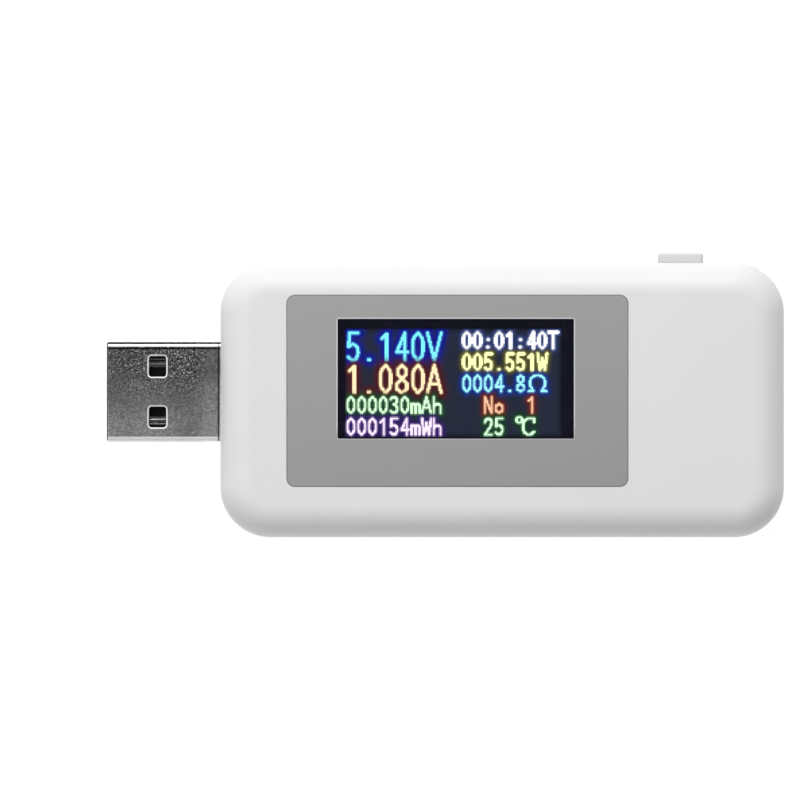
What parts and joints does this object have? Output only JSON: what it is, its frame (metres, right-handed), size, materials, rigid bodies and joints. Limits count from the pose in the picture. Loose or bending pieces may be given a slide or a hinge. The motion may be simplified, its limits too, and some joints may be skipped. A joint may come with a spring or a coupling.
{
  "type": "usb power meter",
  "caption": "Pocket USB power meter: a plug at one end, a socket at the other, and a colour display with a side button between them.",
  "frame": {"origin": "centre of the casing's flat back", "axes": "+X from the plug to the socket, +Y to the side with the button, +Z out of the display"},
  "size_m": [0.0815, 0.0342, 0.0136],
  "materials": {
    "white_casing": "satin, finely textured",
    "grey_panel": "satin",
    "clear_window": "clear gloss",
    "polariser": "gloss",
    "display_glass": "gloss",
    "light_guide": "gloss",
    "lamp": "gloss",
    "backlight_white": "matt",
    "black_foam": "matt",
    "amber_flex": "satin",
    "green_board": "satin solder mask",
    "black_chip": "matt",
    "shunt_black": "matt",
    "ceramic_tan": "satin",
    "tantalum_yellow": "matt",
    "tinned_metal": "satin",
    "solder": "gloss",
    "shell_steel": "fine grain",
    "spring_steel": "satin",
    "black_insulator": "satin",
    "switch_black": "satin",
    "gold_contact": "gloss",
    "white_button": "satin"
  },
  "bodies": {
    "casing": {"backlight_frame": "backlight_white", "backlight_leds": "lamp", "ceramic_capacitors": "ceramic_tan", "chip_leads": "tinned_metal", "chip_resistors": "shunt_black", "clock_crystal": "tinned_metal", "current_amplifier": "black_chip", "current_shunt": "shunt_black", "display_driver": "black_chip", "display_flex": "amber_flex", "display_panel": "grey_panel", "filter_glass": "display_glass", "front_polariser": "polariser", "front_shell": "white_casing", "light_guide": "light_guide", "main_board": "green_board", "memory_chip": "black_chip", "microcontroller": "black_chip", "mounting_foam": "black_foam", "pixel_glass": "display_glass", "plug_contact_data_minus": "gold_contact", "plug_contact_data_plus": "gold_contact", "plug_contact_ground": "gold_contact", "plug_contact_vbus": "gold_contact", "plug_insulator": "black_insulator", "plug_shell": "shell_steel", "rear_polariser": "polariser", "rear_shell": "white_casing", "reverse_diode": "black_chip", "socket_insulator": "black_insulator", "socket_shell": "shell_steel", "socket_tails": "gold_contact", "solder_joints": "solder", "switch_case": "black_insulator", "switch_cover": "shell_steel", "switch_dome": "spring_steel", "switch_pins": "tinned_metal", "tantalum_capacitor": "tantalum_yellow", "temperature_sensor": "ceramic_tan", "voltage_regulator": "black_chip", "window_lens": "clear_window"},
    "button": {"button_cap": "white_button"},
    "plunger": {"switch_plunger": "switch_black"},
    "upper_springs": {"upper_shell_springs": "shell_steel"},
    "lower_springs": {"lower_shell_springs": "shell_steel"},
    "socket_contacts": {"socket_contact_vbus": "gold_contact", "socket_contact_data_minus": "gold_contact", "socket_contact_data_plus": "gold_contact", "socket_contact_ground": "gold_contact"}
  },
  "joints": [
    {"name": "button_press", "type": "slide", "parent": "casing", "child": "button", "axis": [0, -1, 0], "range_m": [0, 0.0003], "stiffness_N_per_m": 4000},
    {"name": "plunger_travel", "type": "slide", "parent": "casing", "child": "plunger", "axis": [0, -1, 0], "range_m": [0, 0.0003], "deforming": ["switch_dome"]},
    {"name": "upper_springs_flex", "type": "hinge", "parent": "casing", "child": "upper_springs", "pos_m": [0.0319, 0.001, 0.00901], "axis": [0, 1, 0], "range_deg": [0, 4], "stiffness_Nm_per_rad": 0.6},
    {"name": "lower_springs_flex", "type": "hinge", "parent": "casing", "child": "lower_springs", "pos_m": [0.0319, 0.001, 0.00359], "axis": [0, 1, 0], "range_deg": [-4, 0]},
    {"name": "contacts_flex", "type": "hinge", "parent": "casing", "child": "socket_contacts", "pos_m": [0.0245, 0.001, 0.007], "axis": [0, -1, 0], "range_deg": [0, 5], "stiffness_Nm_per_rad": 0.3}
  ],
  "couplings": [
    {"joint": "plunger_travel", "follows": "button_press", "ratio": 1},
    {"joint": "lower_springs_flex", "follows": "upper_springs_flex", "ratio": -1}
  ]
}
